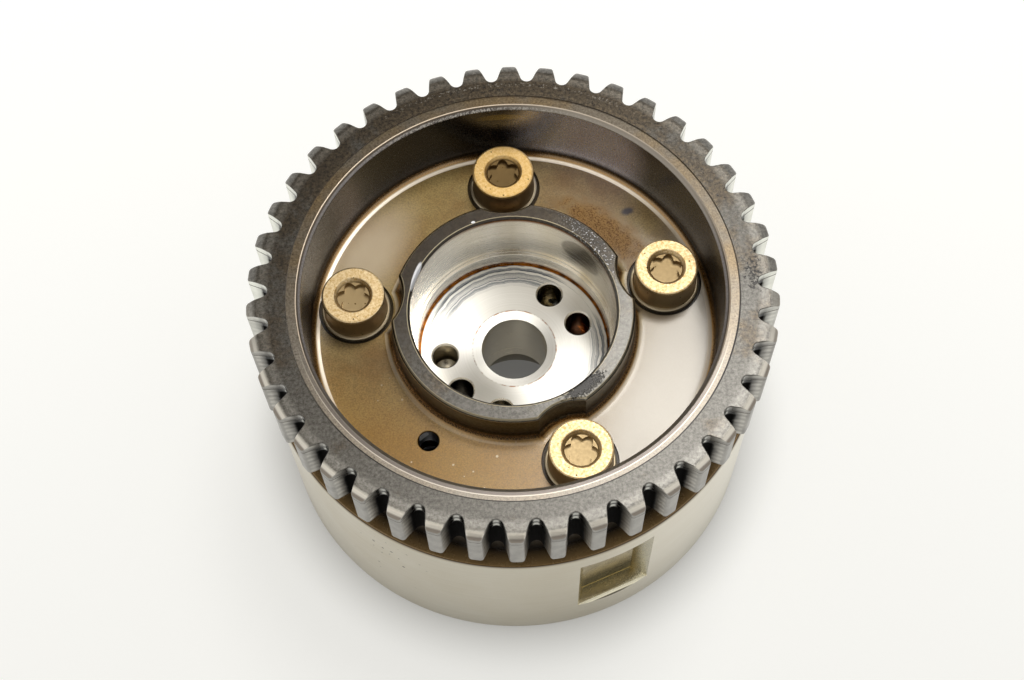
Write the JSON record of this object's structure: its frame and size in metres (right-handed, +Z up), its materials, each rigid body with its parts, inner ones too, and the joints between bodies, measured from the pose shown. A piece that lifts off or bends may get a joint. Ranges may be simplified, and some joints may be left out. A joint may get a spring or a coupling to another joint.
{
  "type": "cam phaser",
  "caption": "Vane-type cam phaser with a silent-chain sprocket, a ground drum, flanged bolts and an open camshaft bore.",
  "frame": {"origin": "centre of the underside of the drum's rim, which is the centre of the bottom of the box", "axes": "+Z up along the camshaft axis, towards the camshaft; +X to the right of the picture"},
  "size_m": [0.0852, 0.0852, 0.05],
  "materials": {
    "sintered_steel": "sintered, turned, oil stained",
    "ground_steel": "ground",
    "cover_steel": "ground",
    "zinc_gold": "yellow zinc plated",
    "rotor_steel": "finely turned",
    "pin_steel": "hardened and ground",
    "spring_steel": "drawn wire",
    "seal_plastic": "moulded"
  },
  "bodies": {
    "housing": {"sprocket": "sintered_steel", "drum": "ground_steel", "front_cover": "cover_steel", "torx_bolts": "zinc_gold", "lock_pin_bush": "pin_steel", "locating_pin": "pin_steel", "lobe_seal_1": "seal_plastic", "lobe_seal_2": "seal_plastic", "lobe_seal_3": "seal_plastic", "lobe_seal_4": "seal_plastic", "lobe_seal_spring_1": "spring_steel", "lobe_seal_spring_2": "spring_steel", "lobe_seal_spring_3": "spring_steel", "lobe_seal_spring_4": "spring_steel"},
    "rotor": {"rotor": "rotor_steel", "lock_pin_spring": "spring_steel", "spring_seat": "seal_plastic", "vane_seal_1": "seal_plastic", "vane_seal_2": "seal_plastic", "vane_seal_3": "seal_plastic", "vane_seal_4": "seal_plastic", "vane_seal_spring_1": "spring_steel", "vane_seal_spring_2": "spring_steel", "vane_seal_spring_3": "spring_steel", "vane_seal_spring_4": "spring_steel"},
    "lock_pin": {"lock_pin": "pin_steel"}
  },
  "joints": [
    {"name": "rotor_phase", "type": "hinge", "parent": "housing", "child": "rotor", "pos_m": [0, 0, 0.01612], "axis": [0, 0, 1], "range_deg": [0, 25]},
    {"name": "lock_pin_slide", "type": "slide", "parent": "rotor", "child": "lock_pin", "axis": [0, 0, 1], "range_m": [-0.0012, 0], "stiffness_N_per_m": 600, "springref_m": 0.003, "deforming": ["lock_pin_spring"]}
  ]
}
